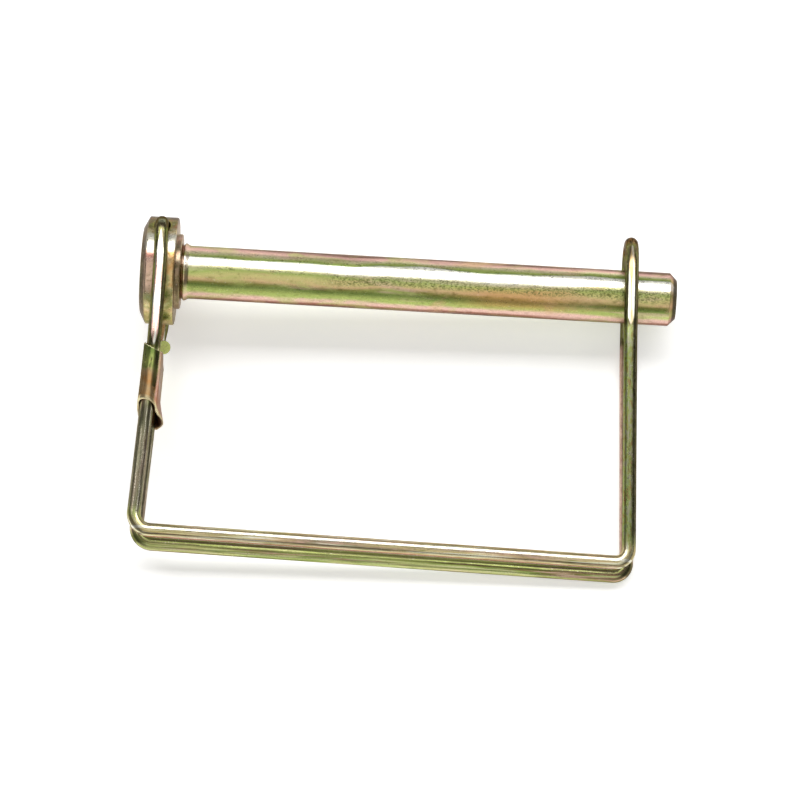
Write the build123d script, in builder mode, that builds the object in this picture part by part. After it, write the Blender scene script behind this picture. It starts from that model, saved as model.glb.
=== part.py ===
from build123d import *
import os

# Wire-lock lynch pin: a headed pin, a two-strand spring-wire bail and the
# rolled sleeve that ties the bail together. Millimetres.
# X runs along the pin from head to tip, the bail lies towards -Y, and Z is
# square to the bail. The origin is on the pin's axis, in the plane of the
# collar face that seats against the work.

# ---------------------------------------------------------------- dimensions
SHANK_R = 3.97          # 5/16 in shank
TIP_X = 73.75           # end of the shank
TIP_CHAMFER = 1.05      # 45 degree lead-in on the tip

NECK_X = 0.22           # shallow groove between the collar and the shank's lip
NECK_R = 3.95
LIP_R = 4.28            # small lip at the root of the shank
LIP_X0, LIP_X1 = 0.44, 0.62
LIP_BLEND_X = 1.20      # where the lip has faded into the shank

COLLAR_R = 5.60
COLLAR_T = 0.75
HEAD_R = 8.06
RIM_X0 = -5.00          # outer edge of the full-diameter rim
RIM_X1 = -COLLAR_T      # inner edge of the rim
FACE_R = 6.45           # flat outer face of the head
FACE_X = -5.85
EDGE_R = 0.22           # rolled edges of the head

WIRE_R = 1.02           # 2 mm spring wire
BORE_R = 1.22           # drilled cross hole in the head
BORE_X = -2.98
BORE_Y = 5.35
BORE_BREAK = 0.25       # broken edge at each mouth of the hole

STRAND_Z = 5.58         # half the spacing of the two strands
CREST_Z = 9.60          # the rear strand swells out to pass over the head's rim
CREST_Y = -1.20
SHOULDER_Z = 10.02      # the front one is furthest out where it leaves the sleeve
SHOULDER_Y = -13.20
WAIST_Z = 6.25          # the right leg is widest just below the shank

EYE_TOP_Y = 7.95        # centreline of the closed end
BEND_LEFT = 2.45        # centreline radii of the bail's corners
BEND_RIGHT = 1.95

SLEEVE_WALL = 0.32
SLEEVE_GAP = 0.06       # the rolled sheet only just clears the wire
SLEEVE_TOP_Y = -13.10   # on the sleeve's centreline
SLEEVE_BOTTOM_Y = -22.96
TOP_SLANT = 26.0        # degrees
BOTTOM_SLANT = 12.6

os.makedirs("parts", exist_ok=True)

# ---------------------------------------------------------------- headed pin
# One cold-headed forging turned round X, with the cross hole drilled through
# the rim of the head, off centre, square to the bail.
with BuildPart() as headed_pin:
    with BuildSketch(Plane.XY) as profile:
        with BuildLine():
            Polyline(
                (FACE_X, 0),
                (FACE_X, FACE_R),
                (RIM_X0, HEAD_R),
                (RIM_X1, HEAD_R),
                (RIM_X1, COLLAR_R),
                (0, COLLAR_R),
                (0, LIP_R + 0.02),
                (NECK_X, NECK_R),
                (LIP_X0, LIP_R),
                (LIP_X1, LIP_R),
                (LIP_BLEND_X, SHANK_R),
                (TIP_X - TIP_CHAMFER, SHANK_R),
                (TIP_X, SHANK_R - TIP_CHAMFER),
                (TIP_X, 0),
                (FACE_X, 0),
            )
        make_face()
        rolled = [
            v
            for v in profile.vertices()
            if (abs(v.X - RIM_X1) < 1e-6 and abs(v.Y - HEAD_R) < 1e-6)
            or (abs(v.X - FACE_X) < 1e-6 and abs(v.Y - FACE_R) < 1e-6)
            or (abs(v.X - RIM_X0) < 1e-6 and abs(v.Y - HEAD_R) < 1e-6)
            or (abs(v.X) < 1e-6 and abs(v.Y - COLLAR_R) < 1e-6)
        ]
        fillet(rolled, radius=EDGE_R)
    revolve(axis=Axis.X)
    with BuildSketch(Plane.XY.offset(-HEAD_R - 1)):
        with Locations((BORE_X, BORE_Y)):
            Circle(BORE_R)
    extrude(amount=2 * HEAD_R + 2, mode=Mode.SUBTRACT)
    mouths = [
        e
        for e in headed_pin.edges().filter_by(GeomType.LINE, reverse=True)
        if all(
            abs(((e @ t).X - BORE_X) ** 2 + ((e @ t).Y - BORE_Y) ** 2 - BORE_R**2) < 0.02
            for t in (0.1, 0.35, 0.6, 0.85)
        )
    ]
    chamfer(mouths, length=BORE_BREAK)

# ---------------------------------------------------------------- wire bail
# One length of wire: the hooked end stands over the top of the sleeve and
# shows its cut face; from there the wire runs down inside the sleeve, round
# the rear of the bail, over the shank at the eye, back along the front, up
# over the front of the rim, through the cross hole, down behind the head and
# into the sleeve, where its other end is held.
route = [
    (-1.78, -11.87, 0.30),
    (-3.35, -10.75, -3.85),
    (-3.36, -15.50, -3.80),
    (-3.72, -24.50, -STRAND_Z),
    (-4.43, -40.43, -STRAND_Z),
    (68.52, -41.34, -STRAND_Z),
    (67.15, -8.20, -WAIST_Z),
    (66.72, EYE_TOP_Y, -STRAND_Z),
    (66.66, EYE_TOP_Y, STRAND_Z),
    (66.95, -8.00, WAIST_Z),
    (68.19, -41.60, STRAND_Z),
    (-4.30, -40.69, STRAND_Z),
    (-3.52, -23.80, STRAND_Z),
    (-2.76, SHOULDER_Y, SHOULDER_Z),
    (-2.73, CREST_Y, 9.30),
    (BORE_X, BORE_Y, 8.85),
    (BORE_X, BORE_Y, -8.20),
    (-2.77, CREST_Y, -CREST_Z),
    (-2.80, -6.90, -7.60),
    (-3.42, -11.60, -6.05),
    (-3.58, -17.00, -6.03),
]
bends = [
    1.50,               # elbow of the hooked end
    8.0,
    8.0,
    BEND_LEFT,
    BEND_RIGHT,
    60.0,
    STRAND_Z - 0.06,    # closed end of the eye
    STRAND_Z - 0.06,
    60.0,
    BEND_RIGHT,
    BEND_LEFT,
    10.0,               # the front strand leaves the leg, inside the sleeve
    6.0,                # and turns back over the front of the rim
    60.0,
    2.10,               # into the hole
    2.10,               # out of the hole
    9.0,                # over the rear of the rim
    9.0,
    5.0,
]
with BuildPart() as wire_bail:
    with BuildLine() as centreline:
        path = FilletPolyline(*route, radius=bends)
    with BuildSketch(Plane(origin=path @ 0, z_dir=path % 0)):
        Circle(WIRE_R)
    sweep(path=path)
print("wire length", round(path.length, 2), "volume", round(wire_bail.part.volume, 2),
      "section x length", round(3.14159265 * WIRE_R**2 * path.length, 2))

# ---------------------------------------------------------------- sleeve
# A strip rolled into a flattened tube round the strands of the left leg,
# closed by crimping and a little twisted, so its rear sits further left. Its
# lower mouth stands open on the right. The upper end is cut on the slant and
# the front of the lower one is scooped.
def leg_x(y):
    return -3.02 + (y + 13.10) * (-3.70 + 3.02) / (-27.30 + 13.10)


sections = (  # height, front strand and its offset, rear strand and its offset, bulge
    (-11.0, 10.95, 0.30, 6.08, -0.42, 0.02),
    (-19.2, 7.56, 0.15, 6.06, -0.22, 0.05),
    (-25.0, STRAND_Z + 0.20, 0.0, 5.95, -0.06, 1.30),
)
with BuildPart() as crimp_sleeve:
    for skin, mode in ((SLEEVE_GAP + SLEEVE_WALL, Mode.ADD), (SLEEVE_GAP, Mode.SUBTRACT)):
        w = WIRE_R + skin
        for y, front, ahead, rear, aside, bulge in sections:
            flat = Plane(origin=(leg_x(y), y, 0), x_dir=(1, 0, 0), z_dir=(0, -1, 0))
            with BuildSketch(flat):
                with BuildLine():
                    Line((-w + aside, -rear), (-w + ahead, front))
                    ThreePointArc((-w + ahead, front), (ahead, front + w), (w + ahead, front))
                    ThreePointArc((w + ahead, front), (w + bulge + aside * 0.3, 2.0), (w + aside, -rear))
                    ThreePointArc((w + aside, -rear), (aside, -rear - w), (-w + aside, -rear))
                make_face()
        loft(ruled=True, mode=mode)
    for y, slant, scoop, drop, far in (
        (SLEEVE_TOP_Y, TOP_SLANT, 0.52, 0.0, -14),
        (SLEEVE_BOTTOM_Y, BOTTOM_SLANT, -0.95, -0.55, 14),
    ):
        tilt = Vector(1, 0, 0).rotate(Axis.Z, -slant)
        end = Plane(origin=(leg_x(y), y, 0), x_dir=(0, 0, 1), z_dir=tilt)
        with BuildSketch(end):
            with BuildLine():
                Line((-12, drop), (4.4, 0))
                Spline((4.4, 0), (6.1, 0.42 * scoop), (8.2, scoop * 1.35), tangents=((1, 0), (1, scoop * 0.45)))
                Polyline((8.2, scoop * 1.35), (14.0, scoop * 3.96), (14.0, far), (-12, far), (-12, drop))
            make_face()
        extrude(amount=10, both=True, mode=Mode.SUBTRACT)

# ---------------------------------------------------------------- export
headed_pin.part.label = "headed_pin"
wire_bail.part.label = "wire_bail"
crimp_sleeve.part.label = "crimp_sleeve"
export_step(headed_pin.part, "parts/headed_pin.step")
export_step(wire_bail.part, "parts/wire_bail.step")
export_step(crimp_sleeve.part, "parts/crimp_sleeve.step")
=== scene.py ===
import math

import bmesh
import bpy
import numpy as np
from mathutils import Matrix, Vector, noise


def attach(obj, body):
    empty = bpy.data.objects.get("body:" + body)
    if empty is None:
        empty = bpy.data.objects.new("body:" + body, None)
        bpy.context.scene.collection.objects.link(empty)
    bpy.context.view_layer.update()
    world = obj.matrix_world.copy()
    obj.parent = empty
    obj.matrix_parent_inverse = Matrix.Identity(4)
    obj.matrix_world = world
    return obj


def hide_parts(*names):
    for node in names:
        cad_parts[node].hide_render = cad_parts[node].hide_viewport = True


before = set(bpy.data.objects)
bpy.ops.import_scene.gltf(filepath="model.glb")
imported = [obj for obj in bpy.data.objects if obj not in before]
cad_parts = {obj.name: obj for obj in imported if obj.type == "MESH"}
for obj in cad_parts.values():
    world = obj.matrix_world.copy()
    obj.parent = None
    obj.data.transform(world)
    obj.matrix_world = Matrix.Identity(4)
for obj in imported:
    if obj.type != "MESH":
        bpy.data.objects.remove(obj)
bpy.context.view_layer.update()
MM = 0.001

# ------------------------------------------------------------------ dimensions
SHANK_R, TIP_X, TIP_CHAMFER = 3.97, 73.75, 1.05
COLLAR_R, COLLAR_T, HEAD_R = 5.60, 0.75, 8.06
RIM_X0, FACE_R, FACE_X = -5.00, 6.45, -5.85
BORE_R, BORE_X, BORE_Y = 1.22, -2.98, 5.35
WIRE_R, STRAND_Z, CREST_Z, CREST_Y = 1.02, 5.58, 9.60, -1.20
EYE_TOP_Y, BEND_LEFT, BEND_RIGHT = 7.95, 2.45, 1.95
SHOULDER_Y, SHOULDER_Z, WAIST_Z = -13.20, 10.02, 6.25
SLEEVE_WALL, SLEEVE_GAP = 0.32, 0.06


# ------------------------------------------------------------------ mesh helpers
def add_mesh(name, verts, faces, sharp_deg=38.0, attributes=None):
    """A new object from millimetre points, smooth but with creases kept sharp."""
    me = bpy.data.meshes.new(name)
    me.from_pydata([(x * MM, y * MM, z * MM) for x, y, z in verts], [], faces)
    me.validate()
    for key, values in (attributes or {}).items():
        values = np.asarray(values, np.float32)
        kind = "FLOAT_VECTOR" if values.ndim == 2 else "FLOAT"
        a = me.attributes.new(key, kind, "POINT")
        a.data.foreach_set("vector" if kind == "FLOAT_VECTOR" else "value", values.ravel())
    ob = bpy.data.objects.new(name, me)
    bpy.context.scene.collection.objects.link(ob)
    crease(ob, sharp_deg)
    return ob


def crease(ob, sharp_deg):
    bm = bmesh.new()
    bm.from_mesh(ob.data)
    bmesh.ops.recalc_face_normals(bm, faces=bm.faces)
    for f in bm.faces:
        f.smooth = True
    lim = math.radians(sharp_deg)
    for e in bm.edges:
        e.smooth = not (len(e.link_faces) == 2 and e.calc_face_angle(0.0) > lim)
    bm.to_mesh(ob.data)
    bm.free()


def wobble(p, scale, seed):
    return noise.noise(Vector((p[0] / scale + seed, p[1] / scale - seed, p[2] / scale + 2 * seed)))


# ------------------------------------------------------------------ headed pin
def rounded(points, radii, steps=6):
    """A polyline with its corners turned into arcs."""
    out = [points[0]]
    for i in range(1, len(points) - 1):
        p, a, b, r = (np.array(points[i], float), np.array(points[i - 1], float),
                      np.array(points[i + 1], float), radii.get(i, 0.0))
        if r <= 0:
            out.append(tuple(p))
            continue
        d1, d2 = (a - p) / np.linalg.norm(a - p), (b - p) / np.linalg.norm(b - p)
        half = math.acos(max(-1, min(1, float(d1 @ d2)))) / 2
        t = r / math.tan(half)
        c = p + (d1 + d2) / np.linalg.norm(d1 + d2) * (r / math.sin(half))
        s, e = p + d1 * t - c, p + d2 * t - c
        ang = math.acos(max(-1, min(1, float(s @ e) / r / r)))
        for k in range(steps + 1):
            f = k / steps
            q = (math.sin((1 - f) * ang) * s + math.sin(f * ang) * e) / math.sin(ang)
            out.append(tuple(c + q))
    out.append(points[-1])
    return out


def make_pin():
    outline = [
        (FACE_X, 0.0), (FACE_X, 2.0), (FACE_X, 4.4), (FACE_X, FACE_R), (RIM_X0, HEAD_R),
        (-3.6, HEAD_R - 0.01), (-2.2, HEAD_R - 0.01), (-COLLAR_T, HEAD_R), (-COLLAR_T, COLLAR_R),
        (0.0, COLLAR_R), (0.0, 4.30), (0.22, 3.95), (0.44, 4.28), (0.62, 4.28), (1.20, SHANK_R),
    ]
    radii = {3: 0.30, 4: 0.26, 7: 0.24, 8: 0.10, 9: 0.20, 10: 0.03, 11: 0.05, 12: 0.06, 13: 0.06, 14: 0.3}
    x = 2.5
    while x < TIP_X - TIP_CHAMFER - 1.0:
        outline.append((x, SHANK_R))
        x += 1.9
    n = len(outline)
    outline += [(TIP_X - TIP_CHAMFER, SHANK_R), (TIP_X, SHANK_R - TIP_CHAMFER), (TIP_X, 1.6), (TIP_X, 0.0)]
    radii.update({n: 0.10, n + 1: 0.12})
    prof = rounded(outline, radii, 5)
    seg = 192
    verts, faces = [(prof[0][0], 0, 0)], []
    for x, r in prof[1:-1]:
        for k in range(seg):
            a = 2 * math.pi * k / seg
            p = (x, r * math.cos(a), r * math.sin(a))
            d = 0.0
            if r > 5.7 and x < -0.5:      # a forged rim is never quite true
                d = -0.035 + 0.030 * wobble(p, 3.0, 3.1)
            elif x > 1.3:
                d = -0.004 + 0.004 * wobble(p, 6.0, 8.7)
            m = (r + d) / r
            dx = 0.02 * (wobble(p, 2.4, 5.5) + 0.5) if x < -5.7 else 0.0
            verts.append((x + dx, p[1] * m, p[2] * m))
    verts.append((prof[-1][0], 0, 0))
    rings = len(prof) - 2
    for k in range(seg):
        faces.append((0, 1 + k, 1 + (k + 1) % seg))
        last = 1 + (rings - 1) * seg
        faces.append((len(verts) - 1, last + (k + 1) % seg, last + k))
    for i in range(rings - 1):
        a, b = 1 + i * seg, 1 + (i + 1) * seg
        for k in range(seg):
            j = (k + 1) % seg
            faces.append((a + k, b + k, b + j, a + j))
    body = add_mesh("headed_pin_forging", verts, faces, 30)

    # the cross hole, with a broken edge where it leaves the rim
    def drill(name, r0, r1, z0, z1, seg=64):
        v, f = [], []
        for z, r in ((z0, r0), (z1, r1)):
            for k in range(seg):
                a = 2 * math.pi * k / seg
                v.append((BORE_X + r * math.cos(a), BORE_Y + r * math.sin(a), z))
        f.append(tuple(range(seg))[::-1])
        f.append(tuple(range(seg, 2 * seg)))
        for k in range(seg):
            j = (k + 1) % seg
            f.append((k, j, seg + j, seg + k))
        return add_mesh(name, v, f)

    cutters = [
        drill("drill_a", BORE_R, BORE_R, -9.0, 9.0),
    ]
    for c in cutters:
        m = body.modifiers.new("cut", "BOOLEAN")
        m.operation, m.solver, m.object = "DIFFERENCE", "EXACT", c
    dg = bpy.context.evaluated_depsgraph_get()
    cut = bpy.data.meshes.new_from_object(body.evaluated_get(dg))
    body.modifiers.clear()
    body.data = cut
    for c in cutters:
        bpy.data.objects.remove(c)
    bm = bmesh.new()
    bm.from_mesh(body.data)
    bmesh.ops.remove_doubles(bm, verts=bm.verts, dist=2e-6)
    rim = []
    for e in bm.edges:
        if len(e.link_faces) != 2:
            continue
        mid = [(v.co.x / MM - BORE_X, v.co.y / MM - BORE_Y) for v in e.verts]
        on = all(abs(math.hypot(*q) - BORE_R) < 0.02 for q in mid)
        if on and e.calc_face_angle(0.0) > math.radians(25) and abs(e.verts[0].co.z - e.verts[1].co.z) < 0.5 * MM \
                and min(abs(v.co.z) for v in e.verts) > 3.0 * MM:
            rim.append(e)
    bmesh.ops.bevel(bm, geom=rim, offset=0.20 * MM, offset_type="OFFSET", segments=3, profile=0.5,
                    affect="EDGES", clamp_overlap=True)
    bm.to_mesh(body.data)
    bm.free()
    crease(body, 30)
    return body


# ------------------------------------------------------------------ wire bail
Z = STRAND_Z
ROUTE = [
    (-1.78, -11.87, 0.30), (-3.35, -10.75, -3.85), (-3.36, -15.50, -3.80), (-3.72, -24.50, -Z),
    (-4.43, -40.43, -Z), (68.52, -41.34, -Z), (67.15, -8.20, -WAIST_Z), (66.72, EYE_TOP_Y, -Z),
    (66.66, EYE_TOP_Y, Z), (66.95, -8.00, WAIST_Z), (68.19, -41.60, Z), (-4.30, -40.69, Z),
    (-3.52, -23.80, Z), (-2.76, SHOULDER_Y, SHOULDER_Z), (-2.73, CREST_Y, 9.30), (BORE_X, BORE_Y, 8.85),
    (BORE_X, BORE_Y, -8.20), (-2.77, CREST_Y, -CREST_Z), (-2.80, -6.90, -7.60), (-3.42, -11.60, -6.05),
    (-3.58, -17.00, -6.03),
]
BENDS = [1.50, 8.0, 8.0, BEND_LEFT, BEND_RIGHT, 60.0, Z - 0.06, Z - 0.06, 60.0, BEND_RIGHT, BEND_LEFT,
         10.0, 6.0, 60.0, 2.10, 2.10, 9.0, 9.0, 5.0]


def centreline():
    pts = [np.array(p, float) for p in ROUTE]
    out = [pts[0]]

    def straight(b):
        a = out[-1]
        d = np.linalg.norm(b - a)
        n = max(1, int(math.ceil(d / 1.3)))
        for k in range(1, n + 1):
            out.append(a + (b - a) * k / n)

    for i, r in enumerate(BENDS):
        p, a, b = pts[i + 1], pts[i], pts[i + 2]
        d1, d2 = (p - a) / np.linalg.norm(p - a), (b - p) / np.linalg.norm(b - p)
        turn = math.acos(max(-1, min(1, float(d1 @ d2))))
        t = r * math.tan(turn / 2)
        s = p - d1 * t
        n = d2 - d1 * float(d1 @ d2)
        n /= np.linalg.norm(n)
        c = s + n * r
        straight(s)
        k_max = max(2, int(math.ceil(turn / math.radians(4.5))), int(math.ceil(r * turn / 1.3)))
        for k in range(1, k_max + 1):
            a_ = turn * k / k_max
            out.append(c + (-n) * r * math.cos(a_) + d1 * r * math.sin(a_))
    straight(pts[-1])
    return np.array(out)


def make_wire():
    c = centreline()
    t = np.gradient(c, axis=0)
    t /= np.linalg.norm(t, axis=1)[:, None]
    s = np.concatenate([[0], np.cumsum(np.linalg.norm(np.diff(c, axis=0), axis=1))])
    u = np.zeros_like(c)
    u[0] = np.cross(t[0], (0.3, 0.2, 0.9))
    u[0] /= np.linalg.norm(u[0])
    for i in range(1, len(c)):          # a frame that doesn't twist along the wire
        v1 = c[i] - c[i - 1]
        k = 2 / (v1 @ v1)
        rl, tl = u[i - 1] - k * (v1 @ u[i - 1]) * v1, t[i - 1] - k * (v1 @ t[i - 1]) * v1
        v2 = t[i] - tl
        q = v2 @ v2
        u[i] = rl - (2 / q) * (v2 @ rl) * v2 if q > 1e-14 else rl
        u[i] -= t[i] * (u[i] @ t[i])
        u[i] /= np.linalg.norm(u[i])
    w = np.cross(t, u)
    seg, total = 48, s[-1]
    verts, faces, co = [], [], []
    rows = []
    # sheared ends: a small rolled edge, then a face that is not quite flat
    head = [(0.0, 0.45), (0.0, 0.80), (0.03, 0.93), (0.12, 1.0)]
    tail = [(0.12, 1.0), (0.03, 0.93), (0.0, 0.80), (0.0, 0.45)]
    for d, f in head:
        rows.append((c[0] + t[0] * d, u[0], w[0], f, d))
    for i in range(1, len(c) - 1):
        rows.append((c[i], u[i], w[i], 1.0, s[i]))
    for d, f in tail:
        rows.append((c[-1] - t[-1] * d, u[-1], w[-1], f, total - d))
    for j, (p, a, b, f, along) in enumerate(rows):
        for k in range(seg):
            ang = 2 * math.pi * k / seg
            ca, sa = math.cos(ang), math.sin(ang)
            r = WIRE_R * f
            if f == 1.0:               # drawing and bending leave it a hair off round
                r -= 0.006 - 0.006 * noise.noise(Vector((along / 7.0, ca * 1.3, sa * 1.3)))
            shift = 0.0
            if along < 0.02:
                shift = 0.05 * noise.noise(Vector((ca * 2 * f, sa * 2 * f, 4.4)))
            q = p + a * (r * ca) + b * (r * sa) + (t[0] * (0.05 + shift) if along < 0.02 else 0)
            verts.append(tuple(q))
            co.append((along, ca * WIRE_R * f, sa * WIRE_R * f))
    n = len(rows)
    for j in range(n - 1):
        for k in range(seg):
            k2 = (k + 1) % seg
            faces.append((j * seg + k, j * seg + k2, (j + 1) * seg + k2, (j + 1) * seg + k))
    for j, p, along in ((0, c[0] + t[0] * 0.03, 0.0), (n - 1, c[-1], total)):
        verts.append(tuple(p))
        co.append((along, 0, 0))
        m = len(verts) - 1
        for k in range(seg):
            k2 = (k + 1) % seg
            faces.append((m, j * seg + k2, j * seg + k) if j == 0 else (m, j * seg + k, j * seg + k2))
    return add_mesh("wire_bail_drawn", verts, faces, 34, {"wire_co": co})


# ------------------------------------------------------------------ crimped sleeve
def leg_x(y):
    return -3.02 + (y + 13.10) * (-3.70 + 3.02) / (-27.30 + 13.10)


SECTIONS = (
    (-11.0, 10.95, 0.30, 6.08, -0.42, 0.02),
    (-19.2, 7.56, 0.15, 6.06, -0.22, 0.05),
    (-25.0, Z + 0.20, 0.0, 5.95, -0.06, 1.30),
)


def section_at(y):
    s = SECTIONS
    if y >= s[1][0]:
        a, b = s[0], s[1]
    else:
        a, b = s[1], s[2]
    f = (y - a[0]) / (b[0] - a[0])
    return [a[i] + (b[i] - a[i]) * f for i in range(1, 6)]


def arc3(p0, p1, p2, n):
    """Points on the circle through three points, from the first to the last."""
    a, b, c = (complex(*p0), complex(*p1), complex(*p2))
    w = (c - a) / (b - a)
    if abs(w.imag) < 1e-9:
        return [tuple(np.array(p0) + (np.array(p2) - np.array(p0)) * k / n) for k in range(n + 1)]
    o = a + (b - a) * (w - abs(w) ** 2) / (2j * w.imag)
    r = abs(a - o)
    t0, t1, t2 = (math.atan2((q - o).imag, (q - o).real) for q in (a, b, c))
    turn = (t2 - t0) % (2 * math.pi)
    mid = (t1 - t0) % (2 * math.pi)
    if mid > turn:
        turn -= 2 * math.pi
    return [(o.real + r * math.cos(t0 + turn * k / n), o.imag + r * math.sin(t0 + turn * k / n)) for k in range(n + 1)]


def loop_at(y, skin):
    """The sleeve's section from one edge of the seam, at the back, round to the other."""
    front, ahead, rear, aside, bulge = section_at(y)
    w = WIRE_R + skin
    back = arc3((w + aside, -rear), (aside, -rear - w), (-w + aside, -rear), 28)
    left = [(-w + aside + (ahead - aside) * k / 26, -rear + (front + rear) * k / 26) for k in range(27)]
    nose = arc3((-w + ahead, front), (ahead, front + w), (w + ahead, front), 36)
    right = arc3((w + ahead, front), (w + bulge + aside * 0.3, 2.0), (w + aside, -rear), 30)
    loop = back[14:] + left[1:] + nose[1:] + right[1:] + back[1:15]
    return np.array(loop, float)


def spline_f(z, scoop, drop):
    if z <= 4.4:
        return drop * (4.4 - z) / 16.4
    if z <= 6.1:
        q = (z - 4.4) / 1.7
        return 0.42 * scoop * q * q
    return 0.42 * scoop + 0.93 * scoop * (z - 6.1) / 2.1 if z < 8.2 else scoop * (1.35 + 2.61 * (z - 8.2) / 5.8)


def cut_height(x, z, y0, slant, scoop, drop):
    s = math.radians(slant)
    dx = x - leg_x(y0)
    return y0 + (-spline_f(z, scoop, drop) - dx * math.sin(s)) / math.cos(s)


def make_sleeve():
    rows = 44
    ref = loop_at(-18.0, SLEEVE_GAP)
    n = len(ref)
    seam = 0.05                            # half the open joint at the back
    verts, t_at, k_at, skin_at = [], [], [], []

    def dent(p, k, t):
        d = 0.028 * noise.noise(Vector((p[0] / 1.7, p[1] / 2.6, p[2] / 2.2)))
        # the crimp's flats: one long shallow crease down the right of the front
        front = math.exp(-(((k - 0.535) / 0.018) ** 2)) * (1 / (1 + math.exp((t - 0.80) * 30)))
        d -= 0.085 * front
        d -= 0.05 * math.exp(-(((k - 0.478) / 0.010) ** 2)) * math.exp(-(((t - 0.42) / 0.10) ** 2))
        d -= 0.06 * math.exp(-(((k - 0.15) / 0.03) ** 2)) * math.exp(-(((t - 0.5) / 0.16) ** 2))
        return d

    tt = [0.0, 0.006, 0.014] + [0.03 + 0.94 * i / rows for i in range(rows + 1)] + [0.986, 0.994, 1.0]
    grids = []
    for outer in (True, False):
        grid = []
        for t in tt:
            edge = min(t, 1 - t)
            shrink = 0.07 if edge < 0.001 else (0.022 if edge < 0.008 else 0.0)
            skin = SLEEVE_GAP + (SLEEVE_WALL - shrink if outer else shrink)
            row = []
            for k in range(n):
                y = -18.0
                for _ in range(7):
                    x, z = loop_at_point(y, skin, k)
                    y_top = cut_height(leg_x(y) + x, z, -13.10, 26.0, 0.52, 0.0)
                    y_bot = cut_height(leg_x(y) + x, z, -22.96, 12.6, -0.95, -0.55)
                    y = y_top + (y_bot - y_top) * t
                p = (leg_x(y) + x, y, z)
                row.append(p)
            row = np.array(row)
            # move along the outward direction for dents
            ctr = np.array([[leg_x(q[1]), q[1], max(-5.4, min(5.4, q[2]))] for q in row])
            out = row - ctr
            out[:, 1] = 0
            out /= np.linalg.norm(out, axis=1)[:, None]
            for k in range(n):
                d = dent(row[k], k / (n - 1), t)
                if t > 0.9:                # the mouth is belled a hair
                    d += 0.04 * (t - 0.9) / 0.1
                if t < 0.06:
                    d += 0.03 * (0.06 - t) / 0.06
                row[k] += out[k] * d * (1.0 if outer else 0.8)
            for k, sgn in ((0, -1), (n - 1, 1)):
                row[k, 0] += sgn * seam
            grid.append(row)
        grids.append(grid)
    m = len(tt)
    for g, grid in enumerate(grids):
        for i, row in enumerate(grid):
            for k in range(n):
                verts.append(tuple(row[k]))
                t_at.append(tt[i])
                k_at.append(k / (n - 1))
                skin_at.append(float(g))
    faces = []

    def vid(g, i, k):
        return g * m * n + i * n + k

    for i in range(m - 1):
        for k in range(n - 1):
            faces.append((vid(0, i, k), vid(0, i + 1, k), vid(0, i + 1, k + 1), vid(0, i, k + 1)))
            faces.append((vid(1, i, k + 1), vid(1, i + 1, k + 1), vid(1, i + 1, k), vid(1, i, k)))
        for k in (0, n - 1):
            faces.append((vid(0, i, k), vid(1, i, k), vid(1, i + 1, k), vid(0, i + 1, k)))
    for i in (0, m - 1):
        for k in range(n - 1):
            faces.append((vid(0, i, k), vid(0, i, k + 1), vid(1, i, k + 1), vid(1, i, k)))
    return add_mesh("crimp_sleeve_rolled", verts, faces, 50,
                    {"sl_t": t_at, "sl_k": k_at, "sl_in": skin_at})


_loops = {}


def loop_at_point(y, skin, k):
    key = (round(y, 2), round(skin, 4))
    if key not in _loops:
        _loops[key] = loop_at(key[0], skin)
    return _loops[key][k]


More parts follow.
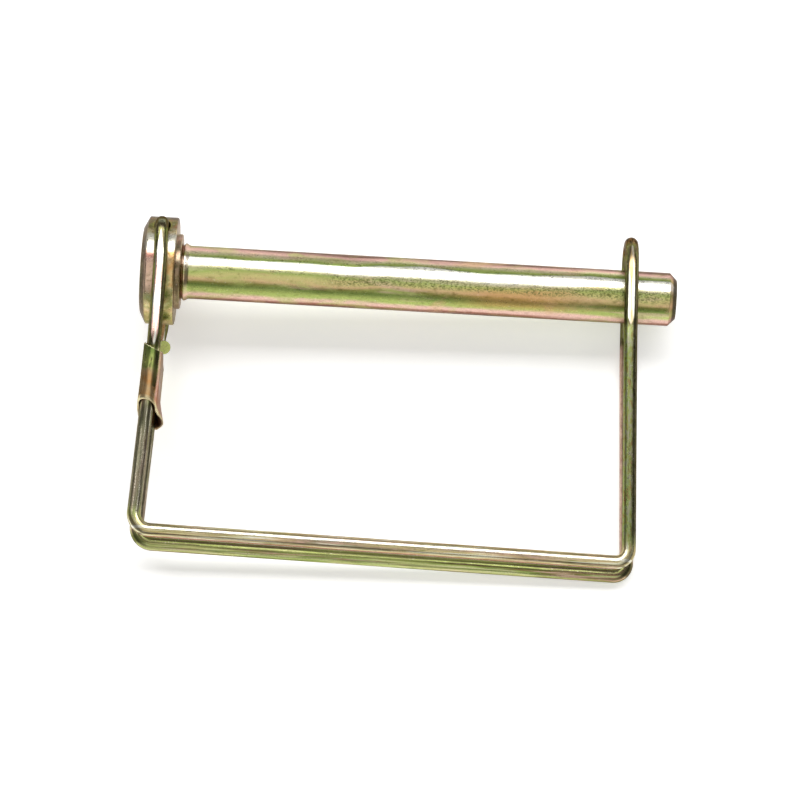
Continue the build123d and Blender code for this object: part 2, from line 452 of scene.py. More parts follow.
# ------------------------------------------------------------------ node helpers
class Tree:
    def __init__(self, name):
        self.mat = bpy.data.materials.new(name)
        self.mat.use_nodes = True
        self.nt = self.mat.node_tree
        self.nt.nodes.clear()
        self.out = self.nt.nodes.new("ShaderNodeOutputMaterial")
        self.bsdf = self.nt.nodes.new("ShaderNodeBsdfPrincipled")
        self.nt.links.new(self.bsdf.outputs[0], self.out.inputs[0])

    def put(self, socket, value):
        if isinstance(value, bpy.types.NodeSocket):
            self.nt.links.new(value, socket)
        else:
            socket.default_value = value

    def math(self, op, a, b=None, c=None, clamp=False):
        n = self.nt.nodes.new("ShaderNodeMath")
        n.operation, n.use_clamp = op, clamp
        for i, v in enumerate((a, b, c)):
            if v is not None:
                self.put(n.inputs[i], v)
        return n.outputs[0]

    def vec(self, x, y, z):
        n = self.nt.nodes.new("ShaderNodeCombineXYZ")
        for i, v in enumerate((x, y, z)):
            self.put(n.inputs[i], v)
        return n.outputs[0]

    def split(self, v):
        n = self.nt.nodes.new("ShaderNodeSeparateXYZ")
        self.put(n.inputs[0], v)
        return n.outputs

    def object_mm(self):
        n = self.nt.nodes.new("ShaderNodeTexCoord")
        m = self.nt.nodes.new("ShaderNodeVectorMath")
        m.operation = "SCALE"
        self.put(m.inputs[0], n.outputs["Object"])
        m.inputs["Scale"].default_value = 1000.0
        return m.outputs[0]

    def attribute(self, name):
        n = self.nt.nodes.new("ShaderNodeAttribute")
        n.attribute_type, n.attribute_name = "GEOMETRY", name
        return n.outputs

    def scale(self, v, sx, sy, sz):
        n = self.nt.nodes.new("ShaderNodeVectorMath")
        n.operation = "MULTIPLY"
        self.put(n.inputs[0], v)
        n.inputs[1].default_value = (sx, sy, sz)
        return n.outputs[0]

    def noise(self, v, scale, detail=3.0, rough=0.55, warp=0.0):
        n = self.nt.nodes.new("ShaderNodeTexNoise")
        self.put(n.inputs["Vector"], v)
        n.inputs["Scale"].default_value = scale
        n.inputs["Detail"].default_value = detail
        n.inputs["Roughness"].default_value = rough
        n.inputs["Distortion"].default_value = warp
        return n.outputs[0]

    def cells(self, v, scale):
        n = self.nt.nodes.new("ShaderNodeTexVoronoi")
        self.put(n.inputs["Vector"], v)
        n.inputs["Scale"].default_value = scale
        return n.outputs["Distance"]

    def ramp(self, fac, stops, interpolation="LINEAR"):
        n = self.nt.nodes.new("ShaderNodeValToRGB")
        e = n.color_ramp.elements
        n.color_ramp.interpolation = interpolation
        while len(e) > 1:
            e.remove(e[-1])
        for i, (p, c) in enumerate(stops):
            el = e[0] if i == 0 else e.new(p)
            el.position = p
            el.color = (*c, 1.0) if len(c) == 3 else c
        self.put(n.inputs[0], fac)
        return n.outputs[0]

    def remap(self, v, a, b, c=0.0, d=1.0, smooth=False):
        n = self.nt.nodes.new("ShaderNodeMapRange")
        n.clamp = True
        if smooth:
            n.interpolation_type = "SMOOTHSTEP"
        self.put(n.inputs[0], v)
        for i, x in enumerate((a, b, c, d)):
            n.inputs[1 + i].default_value = x
        return n.outputs[0]

    def mix(self, fac, a, b, blend="MIX"):
        n = self.nt.nodes.new("ShaderNodeMix")
        n.data_type, n.blend_type = "RGBA", blend
        self.put(n.inputs[0], fac)
        for i, v in ((6, a), (7, b)):
            if isinstance(v, tuple) and len(v) == 3:
                v = (*v, 1.0)
            self.put(n.inputs[i], v)
        return n.outputs[2]

    def window(self, v, a, b, soft):
        """1 between a and b, falling to 0 over soft on either side."""
        up = self.remap(v, a - soft, a + soft, 0, 1, True)
        down = self.remap(v, b - soft, b + soft, 1, 0, True)
        return self.math("MULTIPLY", up, down)

    def bump(self, height, strength, distance, normal=None):
        n = self.nt.nodes.new("ShaderNodeBump")
        n.inputs["Strength"].default_value = strength
        n.inputs["Distance"].default_value = distance
        self.put(n.inputs["Height"], height)
        if normal is not None:
            self.put(n.inputs["Normal"], normal)
        return n.outputs[0]

    def finish(self, colour, rough, normal, metal=1.0, edge=(0.42, 0.38, 0.34)):
        self.put(self.bsdf.inputs["Base Color"], colour)
        self.bsdf.inputs["Specular Tint"].default_value = (*edge, 1.0)
        if metal is not None:
            self.bsdf.inputs["Metallic"].default_value = metal
        self.put(self.bsdf.inputs["Roughness"], rough)
        self.put(self.bsdf.inputs["Normal"], normal)
        return self.mat


def srgb(r, g, b):
    return tuple(((c / 255 + 0.055) / 1.055) ** 2.4 if c > 10 else c / 255 / 12.92 for c in (r, g, b))


# chromate colours: the plating's own tints, also used below for painted highlights, painted reflections and painted
# shade
PINK = srgb(222, 184, 170)
MAUVE = srgb(188, 150, 142)
TAN = srgb(210, 180, 134)
STRAW = srgb(226, 218, 176)
YELLOW = srgb(206, 198, 132)
LIME = srgb(178, 194, 112)
GREEN = srgb(138, 160, 84)
OLIVE = srgb(132, 130, 68)
MOSS = srgb(108, 114, 62)
ORANGE = srgb(214, 160, 100)
BROWN = srgb(142, 104, 78)
CREAM = srgb(246, 238, 220)
GREY = srgb(150, 144, 126)
DARK = srgb(84, 76, 58)
PALE = srgb(250, 250, 238)
RED = srgb(166, 112, 96)
INK = srgb(52, 50, 42)
RUST = srgb(112, 84, 74)
PLUM = srgb(146, 116, 106)
SAGE = srgb(146, 150, 120)
LEAF = srgb(202, 212, 124)


def pin_material():
    t = Tree("pin_chromate")
    p = t.object_mm()
    x, y, z = t.split(p)
    phi = t.math("MULTIPLY", t.math("ARCTAN2", z, y), 1 / (2 * math.pi))
    phi = t.math("FRACT", t.math("ADD", phi, 1.0))
    r = t.math("POWER", t.math("ADD", t.math("MULTIPLY", y, y), t.math("MULTIPLY", z, z)), 0.5)
    streak = t.vec(t.math("MULTIPLY", x, 0.055), t.math("MULTIPLY", y, 0.32), t.math("MULTIPLY", z, 0.32))
    slow = t.noise(streak, 1.0, 3.0, 0.5, 0.3)
    phi2 = t.math("ADD", phi, t.math("MULTIPLY", t.math("SUBTRACT", slow, 0.5), 0.09))
    d = 1 / 360
    # colour round the shank by angle: the plating's tint with painted reflection bands laid in, a painted highlight
    # band (the PALE stops near 70–85°), painted shade along the upper edge and a pink painted reflection low down
    ring_tint_and_painted_light = t.ramp(phi2, [
        (0.0, RUST), (34 * d, RUST), (41 * d, MAUVE), (49 * d, PINK), (56 * d, STRAW), (62 * d, LIME), (66 * d, GREEN),
        (70 * d, PALE), (85 * d, PALE), (91 * d, STRAW), (98 * d, LIME), (107 * d, YELLOW), (116 * d, TAN),
        (124 * d, OLIVE), (133 * d, GREEN), (143 * d, LIME), (151 * d, LIME), (160 * d, PINK), (168 * d, PINK),
        (174 * d, RED), (190 * d, RUST), (210 * d, MAUVE), (224 * d, OLIVE), (246 * d, LIME), (270 * d, YELLOW),
        (292 * d, TAN), (312 * d, LIME), (336 * d, OLIVE), (350 * d, MAUVE), (360 * d, RUST),
    ])
    # wandering patches along the shank
    patch = t.noise(t.vec(t.math("MULTIPLY", x, 0.10), t.math("MULTIPLY", y, 0.22), t.math("MULTIPLY", z, 0.22)), 1.0, 4.0, 0.6, 0.6)
    # the painted highlight band is kept clear of the patches
    bright = t.window(phi2, 66 * d, 90 * d, 3 * d)
    keep = t.math("SUBTRACT", 1.0, t.math("MULTIPLY", bright, 0.85))
    ring_tint_and_painted_light = t.mix(t.math("MULTIPLY", keep, t.remap(patch, 0.50, 0.66, 0, 0.55, True)), ring_tint_and_painted_light, LIME)
    ring_tint_and_painted_light = t.mix(t.math("MULTIPLY", keep, t.remap(patch, 0.46, 0.34, 0, 0.60, True)), ring_tint_and_painted_light, TAN)
    warm = t.noise(t.vec(t.math("MULTIPLY", x, 0.07), t.math("MULTIPLY", y, 0.35), t.math("ADD", z, 31.0)), 1.0, 3.0, 0.6)
    ring_tint_and_painted_light = t.mix(t.math("MULTIPLY", keep, t.remap(warm, 0.55, 0.68, 0, 0.45, True)), ring_tint_and_painted_light, PINK)
    # an orange stain low on the tip's half, and a grainy painted dark reflection just below the painted highlight band
    stain = t.math("MULTIPLY", t.window(x, 43.0, 57.0, 5.0), t.window(phi2, 98 * d, 150 * d, 12 * d))
    ring_tint_and_painted_light = t.mix(t.math("MULTIPLY", stain, 0.55), ring_tint_and_painted_light, ORANGE)
    sand = t.noise(t.scale(p, 1.6, 2.4, 2.4), 2.0, 3.0, 0.7)
    grainy_painted_dark_reflection = t.math("MULTIPLY", t.window(x, 22.0, 74.0, 3.0), t.window(phi2, 91 * d, 110 * d, 5 * d))
    ring_tint_and_painted_light = t.mix(t.math("MULTIPLY", grainy_painted_dark_reflection, t.remap(sand, 0.47, 0.56, 0, 0.85)), ring_tint_and_painted_light, MOSS)
    # head: its own blotches, on a smaller scale
    blot = t.noise(t.scale(p, 0.20, 0.20, 0.20), 1.0, 4.0, 0.6, 0.8)
    head = t.ramp(blot, [
        (0.28, MOSS), (0.38, OLIVE), (0.45, TAN), (0.50, STRAW), (0.56, TAN), (0.63, PINK), (0.72, RED),
    ])
    low = t.remap(y, 0.5, -3.0, 0, 1, True)
    fine = t.noise(p, 0.45, 3.0)
    head = t.mix(t.math("MULTIPLY", low, 0.60), head, t.ramp(fine, [(0.36, GREEN), (0.5, YELLOW), (0.62, TAN)]))
    # the side towards the outer face is salmon under a painted highlight, the other side gold
    rim = t.remap(r, 6.9, 7.4)
    outer = t.math("MULTIPLY", t.remap(x, -3.0, -3.7), rim)
    salmon = t.math("MULTIPLY", outer, t.window(y, -5.2, -0.2, 0.4))
    head = t.mix(t.math("MULTIPLY", salmon, 0.70), head, PINK)
    spot = t.math("MULTIPLY", outer, t.window(y, -0.30, 0.35, 0.25))
    head = t.mix(t.math("MULTIPLY", spot, 0.80), head, RED)
    # painted highlight on the rim's front, a little above the middle
    pale = t.math("MULTIPLY", t.window(y, 0.9, 3.7, 0.4), t.math("MULTIPLY", t.remap(z, 0.0, 2.0), rim))
    head = t.mix(t.math("MULTIPLY", pale, 0.75), head, PALE)
    gold = t.math("MULTIPLY", t.math("MULTIPLY", t.remap(x, -2.4, -2.0), rim), t.window(y, -4.6, 1.0, 0.7))
    head = t.mix(t.math("MULTIPLY", gold, t.remap(fine, 0.40, 0.55, 0.15, 0.65)), head, ORANGE)
    # the upper part of the rim painted dark brown and its crown near black: painted shade
    top = t.math("MULTIPLY", t.remap(y, 4.2, 5.0), rim)
    head = t.mix(t.math("MULTIPLY", top, 0.90), head, t.mix(t.remap(fine, 0.40, 0.56), BROWN, DARK))
    crown = t.math("MULTIPLY", t.remap(y, 6.6, 7.2), rim)
    head = t.mix(t.math("MULTIPLY", crown, 0.92), head, INK)
    on_head = t.remap(x, 0.1, -0.1)
    colour = t.mix(on_head, ring_tint_and_painted_light, head)
    # collar and its step are pinker and darker; the outer chamfer is painted darker still, as painted shade
    collar = t.math("MULTIPLY", t.remap(x, -0.9, -0.7), on_head)
    colour = t.mix(t.math("MULTIPLY", collar, 0.75), colour, t.mix(t.remap(fine, 0.42, 0.58), PLUM, DARK))
    outer_chamfer_painted_shade = t.math("MULTIPLY", t.remap(x, -4.75, -5.25, 0, 1, True), t.remap(r, 6.2, 6.6))
    colour = t.mix(t.math("MULTIPLY", outer_chamfer_painted_shade, 0.92), colour, t.mix(t.remap(fine, 0.40, 0.60), INK, DARK))
    # painted shade in the groove where the shank meets the collar, and a painted pink highlight on the lip beside it
    root_groove_painted_shade = t.window(x, 0.02, 0.42, 0.06)
    colour = t.mix(t.math("MULTIPLY", root_groove_painted_shade, 0.70), colour, BROWN)
    lip_painted_highlight = t.window(x, 0.50, 1.05, 0.15)
    colour = t.mix(t.math("MULTIPLY", lip_painted_highlight, 0.35), colour, PINK)
    # the tip's chamfer painted brown and its outer half near black: painted shade
    tip = t.remap(x, TIP_X - 1.15, TIP_X - 0.95)
    colour = t.mix(t.math("MULTIPLY", tip, 0.55), colour, BROWN)
    tip_edge_painted_shade = t.remap(x, TIP_X - 0.75, TIP_X - 0.50)
    colour = t.mix(t.math("MULTIPLY", tip_edge_painted_shade, 0.90), colour, INK)
    # round the drilled hole, at its edge and inside it, the colour is painted darker: painted shade
    hx, hy = t.math("SUBTRACT", x, BORE_X), t.math("SUBTRACT", y, BORE_Y)
    hr = t.math("POWER", t.math("ADD", t.math("MULTIPLY", hx, hx), t.math("MULTIPLY", hy, hy)), 0.5)
    inside = t.remap(hr, 1.26, 1.20)
    lip = t.window(hr, 1.22, 1.45, 0.05)
    hole_painted_shade = t.math("MULTIPLY", t.remap(hr, 3.0, 1.4, 0, 1, True), t.remap(t.noise(p, 0.7, 3.0), 0.42, 0.6))
    colour = t.mix(t.math("MULTIPLY", hole_painted_shade, 0.85), colour, MOSS)
    colour = t.mix(t.math("MULTIPLY", lip, 0.6), colour, OLIVE)
    colour = t.mix(t.math("MULTIPLY", inside, 0.6), colour, DARK)
    # fine mottling, stains and worn specks
    mott = t.noise(t.scale(p, 0.55, 1.0, 1.0), 1.6, 5.0, 0.65)
    colour = t.mix(t.remap(mott, 0.56, 0.74, 0, 0.55), colour, OLIVE, "MULTIPLY")
    specks = t.noise(t.scale(p, 1.0, 1.0, 1.0), 3.4, 3.0, 0.7)
    colour = t.mix(t.remap(specks, 0.62, 0.74, 0, 0.55), colour, DARK)
    colour = t.mix(t.remap(specks, 0.36, 0.27, 0, 0.40), colour, PALE)
    rough = t.math("ADD", t.remap(mott, 0.3, 0.7, 0.22, 0.36), t.remap(specks, 0.5, 0.8, 0.0, 0.16))
    # bump: forging ripple, draw lines along the shank, small pits
    lines = t.noise(t.scale(p, 0.10, 3.0, 3.0), 1.4, 3.0, 0.6)
    n1 = t.bump(t.noise(p, 0.9, 4.0, 0.6), 0.35, 0.00006)
    n2 = t.bump(lines, 0.25, 0.00002, n1)
    n3 = t.bump(t.noise(p, 4.2, 4.0, 0.7), 0.40, 0.000022, n2)
    pits = t.remap(t.cells(p, 1.1), 0.0, 0.16, 0, 1, True)
    n4 = t.bump(pits, 0.25, 0.00002, n3)
    return t.finish(colour, rough, n4, 1.0, (0.66, 0.60, 0.56))


def wire_material():
    t = Tree("wire_chromate")
    p = t.object_mm()
    x, y, z = t.split(p)
    w = t.attribute("wire_co")[1]
    s, ca, sa = t.split(w)
    long_ = t.vec(t.math("MULTIPLY", s, 0.05), t.math("MULTIPLY", ca, 0.75), t.math("MULTIPLY", sa, 0.75))
    a = t.noise(long_, 1.3, 4.0, 0.6, 0.3)
    colour = t.ramp(a, [
        (0.28, MOSS), (0.38, OLIVE), (0.45, LIME), (0.50, STRAW), (0.55, TAN), (0.61, PINK), (0.70, BROWN),
    ])
    # streaks left by the die
    b = t.noise(t.vec(t.math("MULTIPLY", s, 0.10), t.math("MULTIPLY", ca, 3.6), t.math("MULTIPLY", sa, 3.6)), 1.0, 4.0, 0.65)
    colour = t.mix(t.remap(b, 0.53, 0.66, 0, 0.65), colour, DARK)
    colour = t.mix(t.remap(b, 0.44, 0.34, 0, 0.45), colour, CREAM)
    # along the bottom each strand is streaked, greener at the rear
    low = t.remap(y, -38.5, -39.6)
    rear = t.math("MULTIPLY", low, t.remap(z, -2.5, -3.5))
    front = t.math("MULTIPLY", low, t.remap(z, 4.0, 5.2))
    down_f = t.math("SUBTRACT", y, t.remap(x, -4.30, 68.19, -40.69, -41.60))
    down_r = t.math("SUBTRACT", y, t.remap(x, -4.43, 68.52, -40.43, -41.34))
    b2 = t.noise(t.vec(t.math("MULTIPLY", s, 0.06), t.math("MULTIPLY", ca, 2.6), t.math("ADD", t.math("MULTIPLY", sa, 2.6), 9.0)), 1.0, 4.0, 0.65)
    colour = t.mix(t.math("MULTIPLY", rear, 0.75), colour, t.ramp(b2, [
        (0.36, STRAW), (0.44, LIME), (0.50, GREEN), (0.55, MOSS), (0.60, BROWN), (0.66, PINK)]))
    colour = t.mix(t.math("MULTIPLY", front, 0.75), colour, t.ramp(b2, [
        (0.36, PALE), (0.43, STRAW), (0.48, TAN), (0.52, OLIVE), (0.56, PINK), (0.61, MOSS), (0.67, CREAM)]))
    # painted shade along the rear strand's upper side, where it sits behind the front strand
    shade = t.math("MULTIPLY", rear, t.remap(down_r, -0.25, 0.05))
    colour = t.mix(t.math("MULTIPLY", shade, 0.85), colour, t.mix(t.remap(b2, 0.44, 0.56), MOSS, DARK))
    # painted highlight along the front strand
    gleam = t.math("MULTIPLY", front, t.window(down_f, 0.02, 0.38, 0.08))
    colour = t.mix(t.math("MULTIPLY", gleam, 0.65), colour, PALE)
    # painted shade, reddish, along the front strand's lower edge between the strands
    under = t.math("MULTIPLY", front, t.remap(down_f, -0.93, -0.98))
    colour = t.mix(t.math("MULTIPLY", under, 0.75), colour, srgb(172, 108, 92))
    # a streaked painted dark reflection low on the front strand
    painted_dark_reflection_band = t.math("MULTIPLY", front, t.window(down_f, -0.76, -0.56, 0.06))
    colour = t.mix(t.math("MULTIPLY", painted_dark_reflection_band, t.remap(b, 0.44, 0.54, 0.25, 0.85)), colour, DARK)
    left = t.math("MULTIPLY", t.remap(x, 0.0, -1.5), t.window(y, -38.0, -22.0, 1.2))
    colour = t.mix(t.math("MULTIPLY", left, 0.85), colour,
                   t.ramp(b, [(0.36, CREAM), (0.43, GREY), (0.49, DARK), (0.53, GREY), (0.58, INK), (0.66, GREY)]))
    right = t.math("MULTIPLY", t.remap(x, 60.0, 62.0), t.window(y, -38.5, -4.5, 1.8))
    grimy = t.noise(t.vec(t.math("MULTIPLY", s, 0.5), t.math("MULTIPLY", ca, 1.2), t.math("MULTIPLY", sa, 1.2)), 1.6, 4.0, 0.7)
    colour = t.mix(t.math("MULTIPLY", right, 0.88), colour,
                   t.ramp(grimy, [(0.34, GREY), (0.44, SAGE), (0.52, GREEN), (0.58, OLIVE), (0.66, BROWN)]))
    rose = t.math("MULTIPLY", right, t.remap(z, -2.0, -4.0))
    colour = t.mix(t.math("MULTIPLY", rose, 0.80), colour, t.mix(t.remap(grimy, 0.40, 0.60), PINK, MAUVE))
    # painted highlights: along the strand over the head and over the eye a pale core is painted as highlight, on runs
    # first painted dim as shade, darker where they begin and end
    across = t.noise(t.scale(w, 0.12, 1.4, 1.4), 1.0, 3.0, 0.5)
    on_left, on_right = t.remap(x, 0.0, -1.5), t.remap(x, 60.0, 62.0)
    mid_l = t.remap(y, -13.2, 5.35, -2.74, -2.90)
    mid_r = t.remap(y, -8.0, 7.95, 66.93, 66.68)
    off_l = t.math("ABSOLUTE", t.math("SUBTRACT", x, mid_l))
    off_r = t.math("ABSOLUTE", t.math("SUBTRACT", x, mid_r))
    dim = t.mix(t.remap(grimy, 0.42, 0.56), MOSS, DARK)
    head_run = t.math("MULTIPLY", on_left, t.window(y, -14.6, 6.6, 0.4))
    colour = t.mix(t.math("MULTIPLY", head_run, 0.93), colour, dim)
    wide_l = t.math("MULTIPLY", t.remap(y, 3.7, 0.2, 0.0, 0.52), t.remap(y, -13.9, -12.3, 0.2, 1.0))
    crest = t.math("MULTIPLY", on_left, t.remap(t.math("SUBTRACT", off_l, wide_l), 0.09, -0.05))
    crest = t.math("MULTIPLY", crest, t.window(y, -14.0, 3.6, 0.3))
    colour = t.mix(t.math("MULTIPLY", crest, 0.85), colour, t.mix(t.remap(across, 0.44, 0.56), PALE, PINK))
    eye_run = t.math("MULTIPLY", on_right, t.window(y, -6.2, 9.4, 0.5))
    colour = t.mix(t.math("MULTIPLY", eye_run, 0.92), colour, dim)
    wide_r = t.math("MULTIPLY", t.remap(y, 6.4, 3.2, 0.08, 0.46), t.remap(y, -6.2, -4.8, 0.0, 1.0))
    eye = t.math("MULTIPLY", on_right, t.remap(t.math("SUBTRACT", off_r, wide_r), 0.09, -0.05))
    eye = t.math("MULTIPLY", eye, t.window(y, -6.0, 6.4, 0.3))
    colour = t.mix(t.math("MULTIPLY", eye, 0.85), colour, t.mix(t.remap(across, 0.44, 0.56), PALE, TAN))
    # painted shade where the wire bends into the hole, with a small painted reflection on the bend
    turn = t.math("MULTIPLY", on_left, t.window(y, 3.9, 6.6, 0.35))
    colour = t.mix(t.math("MULTIPLY", turn, 0.85), colour, DARK)
    knob = t.math("MULTIPLY", t.window(y, 4.75, 5.35, 0.22), t.remap(off_l, 0.58, 0.40))
    colour = t.mix(t.math("MULTIPLY", t.math("MULTIPLY", on_left, knob), 0.80), colour, SAGE)
    # painted shade over the eye's top
    over = t.math("MULTIPLY", on_right, t.remap(y, 6.6, 7.4))
    colour = t.mix(t.math("MULTIPLY", over, 0.85), colour, t.mix(t.remap(grimy, 0.42, 0.56), BROWN, INK))
    # the right leg's outer side is painted darker, mottled: painted shade
    leg_r = t.remap(y, -41.6, -8.0, 68.19, 66.95)
    outer_side_painted_shade = t.math("MULTIPLY", right, t.remap(t.math("SUBTRACT", x, leg_r), -0.05, 0.50, 0, 0.88, True))
    colour = t.mix(outer_side_painted_shade, colour, t.mix(t.remap(grimy, 0.44, 0.56), DARK, INK))
    # cut end
    cut = t.remap(s, 0.10, 0.05)
    colour = t.mix(t.math("MULTIPLY", cut, 0.85), colour, t.ramp(t.noise(p, 0.9, 3.0), [(0.40, LEAF), (0.58, LEAF), (0.72, YELLOW)]))
    specks = t.noise(w, 3.6, 3.0, 0.7)
    colour = t.mix(t.math("MULTIPLY", t.math("SUBTRACT", 1.0, cut), t.remap(specks, 0.60, 0.74, 0, 0.6)), colour, DARK)
    colour = t.mix(t.remap(specks, 0.38, 0.28, 0, 0.35), colour, CREAM)
    rough = t.math("ADD", t.remap(b, 0.3, 0.7, 0.22, 0.38), t.remap(specks, 0.5, 0.8, 0.0, 0.15))
    n1 = t.bump(b, 0.45, 0.00003)
    n2 = t.bump(t.noise(w, 2.6, 4.0, 0.7), 0.40, 0.00003, n1)
    ends = t.bump(t.noise(t.scale(p, 1, 1, 1), 3.0, 2.0, 0.6), 0.25, 0.00003, n2)
    t.put(t.bsdf.inputs["Metallic"], t.remap(cut, 0, 1, 1.0, 0.25))
    return t.finish(colour, rough, ends, None)


def sleeve_material():
    t = Tree("sleeve_chromate")
    p = t.object_mm()
    h = t.attribute("sl_t")[2]
    k = t.attribute("sl_k")[2]
    inner = t.attribute("sl_in")[2]
    n = t.noise(t.scale(p, 0.8, 0.30, 0.5), 1.0, 4.0, 0.6, 0.3)
    hh = t.math("ADD", h, t.math("MULTIPLY", t.math("SUBTRACT", n, 0.5), 0.55))
    colour = t.ramp(hh, [
        (0.02, GREEN), (0.16, LIME), (0.34, LEAF), (0.44, LIME), (0.50, YELLOW), (0.58, TAN), (0.70, ORANGE), (0.84, TAN), (1.0, ORANGE),
    ])
    side = t.noise(t.vec(t.math("MULTIPLY", k, 9.0), t.math("MULTIPLY", h, 1.5), 7.0), 1.0, 3.0, 0.6)
    colour = t.mix(t.remap(side, 0.56, 0.68, 0, 0.45), colour, TAN)
    flank = t.window(k, 0.05, 0.29, 0.03)
    colour = t.mix(t.math("MULTIPLY", flank, 0.50), colour, SAGE)
    # a dark band down the right of the front, along the crease, ending short of the mouth
    wob = t.math("MULTIPLY", t.math("SUBTRACT", t.noise(p, 0.8, 3.0), 0.5), 0.02)
    kk = t.math("ADD", k, wob)
    band = t.math("MULTIPLY", t.window(kk, 0.518, 0.560, 0.008), t.window(h, -0.10, 0.76, 0.02))
    colour = t.mix(t.math("MULTIPLY", band, 0.85), colour, t.mix(t.remap(n, 0.42, 0.58), INK, MOSS))
    # painted shade along the sleeve's left edge
    lft = t.window(kk, 0.28, 0.416, 0.012)
    colour = t.mix(t.math("MULTIPLY", lft, 0.85), colour, t.mix(t.remap(n, 0.42, 0.58), INK, DARK))
    rgt = t.window(kk, 0.566, 0.87, 0.010)
    colour = t.mix(t.math("MULTIPLY", rgt, 0.8), colour, t.mix(t.remap(n, 0.40, 0.58), MAUVE, RED))
    # two short scratches and rubbed specks
    sc = t.noise(t.vec(t.math("MULTIPLY", kk, 120.0), t.math("MULTIPLY", h, 5.0), 1.0), 1.0, 3.0, 0.7)
    zone = t.math("MULTIPLY", t.window(kk, 0.468, 0.492, 0.006), t.window(h, 0.24, 0.52, 0.04))
    colour = t.mix(t.math("MULTIPLY", zone, t.remap(sc, 0.44, 0.54, 0, 0.9)), colour, DARK)
    specks = t.noise(p, 3.2, 3.0, 0.7)
    colour = t.mix(t.remap(specks, 0.60, 0.74, 0, 0.5), colour, BROWN)
    edge = t.math("ADD", t.remap(h, 0.028, 0.010), t.remap(h, 0.972, 0.990), clamp=True)
    mouth = t.math("MULTIPLY", t.remap(h, 0.935, 0.955), t.remap(inner, 0.6, 0.4))
    colour = t.mix(t.math("MULTIPLY", mouth, 0.75), colour, t.mix(t.remap(n, 0.40, 0.60), STRAW, TAN))
    colour = t.mix(t.math("MULTIPLY", edge, 0.7), colour, STRAW)
    # the inside of the sleeve painted brown: painted shade
    colour = t.mix(t.math("MULTIPLY", t.remap(inner, 0.6, 0.9), 0.7), colour, BROWN)
    rough = t.remap(n, 0.3, 0.7, 0.24, 0.40)
    n1 = t.bump(t.noise(t.scale(p, 1.0, 0.35, 1.0), 1.5, 4.0, 0.6), 0.40, 0.00006)
    n2 = t.bump(t.noise(p, 5.0, 3.0, 0.7), 0.35, 0.00002, n1)
    return t.finish(colour, rough, n2)


def floor_material():
    t = Tree("pale_floor")
    p = t.object_mm()
    grain = t.noise(p, 0.02, 3.0, 0.5)
    colour = t.mix(t.remap(grain, 0.35, 0.65), (0.93, 0.93, 0.93), (0.955, 0.955, 0.955))
    t.put(t.bsdf.inputs["Base Color"], colour)
    t.bsdf.inputs["Roughness"].default_value = 0.85
    t.bsdf.inputs["Emission Color"].default_value = (1.0, 1.0, 1.0, 1.0)
    t.bsdf.inputs["Emission Strength"].default_value = 0.40
    return t.mat


# ------------------------------------------------------------------ the object
pin = make_pin()
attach(pin, "pin")
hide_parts("headed_pin")
pin.data.materials.clear()
pin.data.materials.append(pin_material())

wire = make_wire()
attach(wire, "bail")
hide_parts("wire_bail")
wire.data.materials.append(wire_material())

sleeve = make_sleeve()
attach(sleeve, "bail")
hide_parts("crimp_sleeve")
sleeve.data.materials.append(sleeve_material())

# ------------------------------------------------------------------ stage
# The pin lies on the rear strand's crest by the head and on the right leg, so
# the floor is some three degrees out of square to the part's own axes.
SLOPE_X, SLOPE_Y = 0.04253, -0.01691
base = Vector((-2.77, -1.2, -10.34))
normal = Vector((-SLOPE_X, -SLOPE_Y, 1)).normalized()
at = Vector((30.0, -18.0, 0))
at.z = base.z + SLOPE_X * (at.x - base.x) + SLOPE_Y * (at.y - base.y) - 0.02
size = 1600.0
ex = Vector((1, 0, SLOPE_X)).normalized()
ey = normal.cross(ex)
grid, gfaces = [], []
N = 8
for i in range(N + 1):
    for j in range(N + 1):
        q = at + ex * (size * (i / N - 0.5)) + ey * (size * (j / N - 0.5))
        grid.append(tuple(q))
for i in range(N):
    for j in range(N):
        a = i * (N + 1) + j
        gfaces.append((a, a + N + 1, a + N + 2, a + 1))
floor = add_mesh("floor", grid, gfaces)
floor.data.materials.append(floor_material())

# ------------------------------------------------------------------ light
centre = Vector((0.034, -0.018, 0.0))
VIEW = Vector((0.0, -0.24023, 0.97072))
UP = Vector((-0.05715, 0.96914, 0.23984))


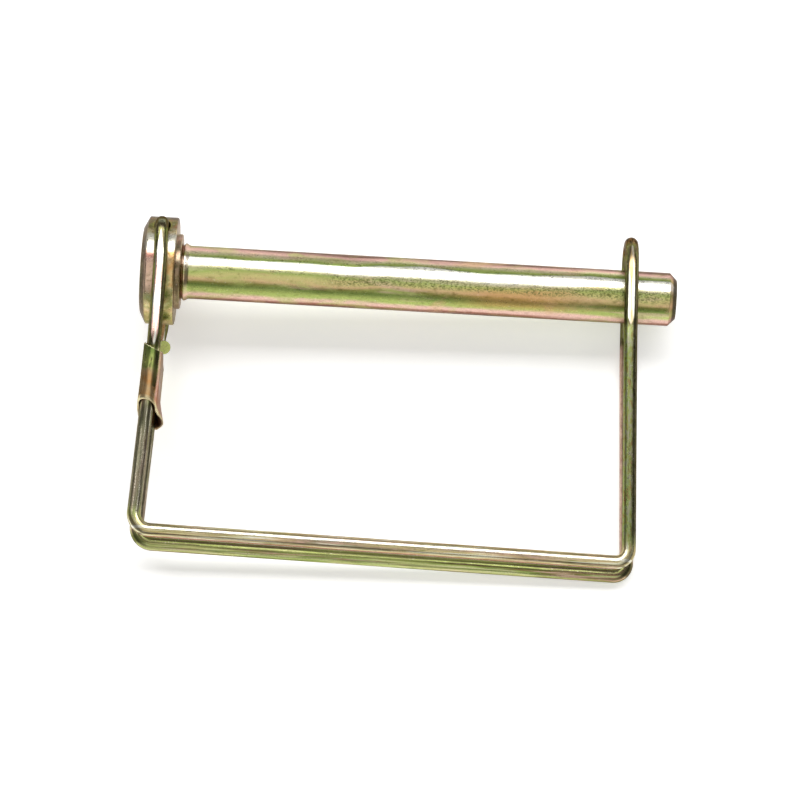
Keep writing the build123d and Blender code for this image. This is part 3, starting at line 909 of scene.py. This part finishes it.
def softbox(name, direction, distance, width, height, radiance, colour=(1, 1, 1), across=Vector((1, 0, 0))):
    light = bpy.data.lights.new(name, "AREA")
    light.shape = "RECTANGLE"
    light.size, light.size_y = width, height
    light.color = colour
    light.energy = radiance * math.pi * width * height
    ob = bpy.data.objects.new(name, light)
    bpy.context.scene.collection.objects.link(ob)
    d = direction.normalized()
    zz = d
    yy = zz.cross(across).normalized()
    xx = yy.cross(zz).normalized()
    ob.matrix_world = Matrix.Translation(centre + d * distance) @ Matrix((
        (xx.x, yy.x, zz.x, 0), (xx.y, yy.y, zz.y, 0), (xx.z, yy.z, zz.z, 0), (0, 0, 0, 1)))
    return ob


def from_view(deg, side=0.0):
    a = math.radians(deg)
    return VIEW * math.cos(a) + UP * math.sin(a) + Vector((1, 0, 0)) * side


softbox("key", from_view(48.5), 0.95, 1.90, 0.42, 4.6, (1.0, 0.995, 0.985))
softbox("far_low", from_view(88), 1.30, 1.50, 0.30, 0.45, (1.0, 0.98, 0.96))
softbox("overhead", from_view(-14), 1.10, 0.95, 1.34, 0.80, (1.0, 0.99, 0.97))
softbox("near_low", from_view(-66), 1.20, 1.20, 0.40, 0.58, (1.0, 0.99, 0.98))

world = bpy.data.worlds.new("studio")
bpy.context.scene.world = world
world.use_nodes = True
world.node_tree.nodes["Background"].inputs[0].default_value = (1.0, 0.98, 0.96, 1)
world.node_tree.nodes["Background"].inputs[1].default_value = 0.15
bpy.context.scene.view_settings.view_transform = "Standard"
bpy.context.scene.view_settings.look = "None"

# ------------------------------------------------------------------ camera
cam_data = bpy.data.cameras.new("camera")
cam = bpy.data.objects.new("camera", cam_data)
bpy.context.scene.collection.objects.link(cam)
cam_data.sensor_width = 36.0
cam_data.sensor_fit = "HORIZONTAL"
cam_data.lens = 193.5
cam_data.clip_start, cam_data.clip_end = 0.01, 20.0
target = Vector((0.03359, -0.01775, 0.0))
right = Vector((0.99837, 0.05547, 0.01373)).normalized()
back = Vector((0.0, -0.24023, 0.97072)).normalized()
up = back.cross(right).normalized()
right = up.cross(back).normalized()
pos = target + back * 0.6368
cam.matrix_world = Matrix((
    (right.x, up.x, back.x, pos.x), (right.y, up.y, back.y, pos.y), (right.z, up.z, back.z, pos.z), (0, 0, 0, 1)))
bpy.context.scene.camera = cam
